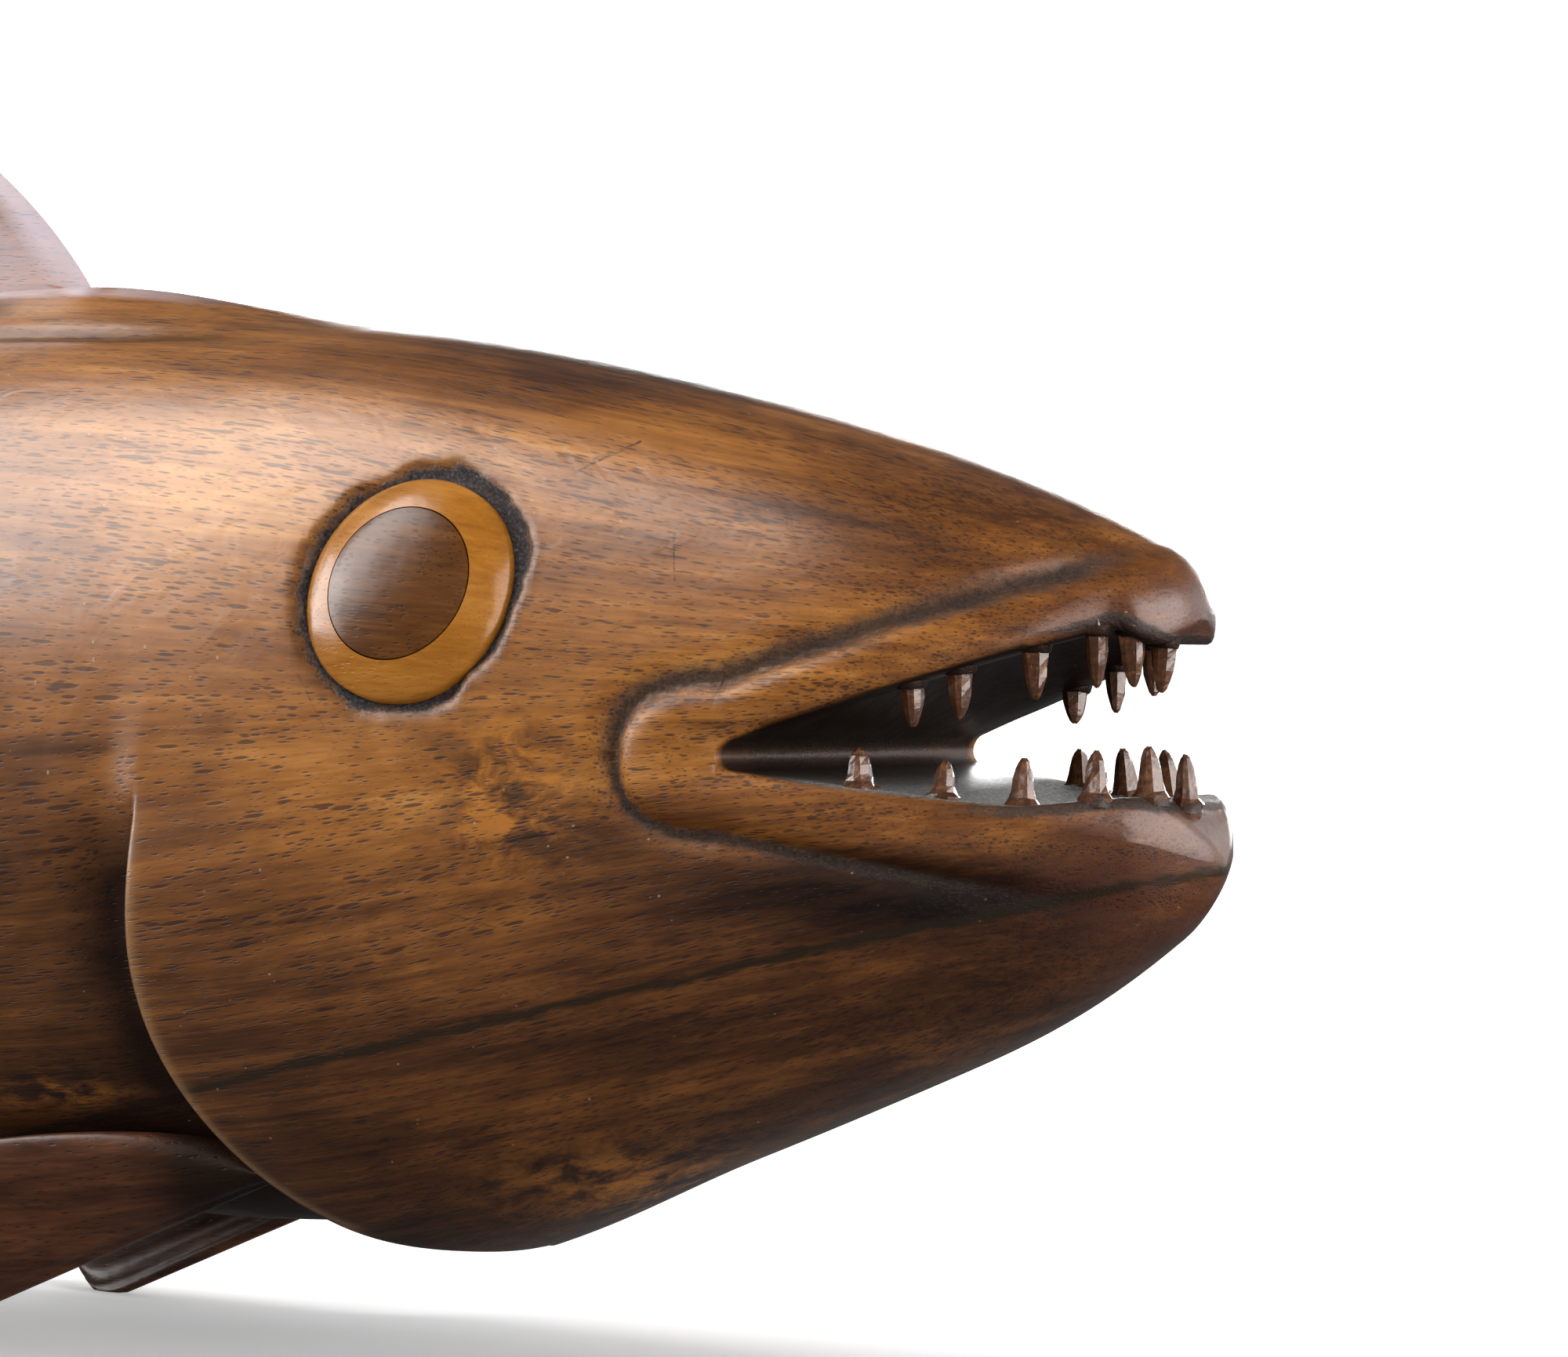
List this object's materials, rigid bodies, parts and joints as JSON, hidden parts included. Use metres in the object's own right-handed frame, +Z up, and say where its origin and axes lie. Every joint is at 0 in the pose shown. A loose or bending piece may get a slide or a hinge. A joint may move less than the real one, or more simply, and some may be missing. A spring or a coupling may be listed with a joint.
{
  "type": "carved wooden fish",
  "caption": "Varnished hardwood carving of an open-mouthed fish with pegged teeth and inlaid eyes, standing on its pectoral fins and tail.",
  "frame": {"origin": "on the ground that the fins and tail stand on, under the middle of the fish's bounding box", "axes": "+X toward the snout, +Y toward the fish's left side, +Z up"},
  "size_m": [0.431, 0.0624, 0.1356],
  "materials": {
    "body_wood": "golden brown hardwood with darker streaks under glossy varnish",
    "fin_wood": "reddish brown hardwood under glossy varnish",
    "eye_ring_wood": "pale orange wood, polished and varnished",
    "pupil_wood": "dark brown wood, polished and varnished",
    "tooth_wood": "brown wood pegs, knife cut, thinly varnished"
  },
  "bodies": {
    "root": {"body": "body_wood", "right_pectoral_fin": "fin_wood", "left_pectoral_fin": "fin_wood", "right_eye_ring": "eye_ring_wood", "left_eye_ring": "eye_ring_wood", "right_pupil": "pupil_wood", "left_pupil": "pupil_wood", "upper_right_tooth_1": "tooth_wood", "upper_right_tooth_2": "tooth_wood", "upper_right_tooth_3": "tooth_wood", "upper_right_tooth_4": "tooth_wood", "upper_right_tooth_5": "tooth_wood", "upper_right_tooth_6": "tooth_wood", "upper_left_tooth_1": "tooth_wood", "upper_left_tooth_2": "tooth_wood", "upper_left_tooth_3": "tooth_wood", "lower_right_tooth_1": "tooth_wood", "lower_right_tooth_2": "tooth_wood", "lower_right_tooth_3": "tooth_wood", "lower_right_tooth_4": "tooth_wood", "lower_right_tooth_5": "tooth_wood", "lower_right_tooth_6": "tooth_wood", "lower_left_tooth_1": "tooth_wood", "lower_left_tooth_2": "tooth_wood", "lower_left_tooth_3": "tooth_wood"}
  },
  "joints": []
}
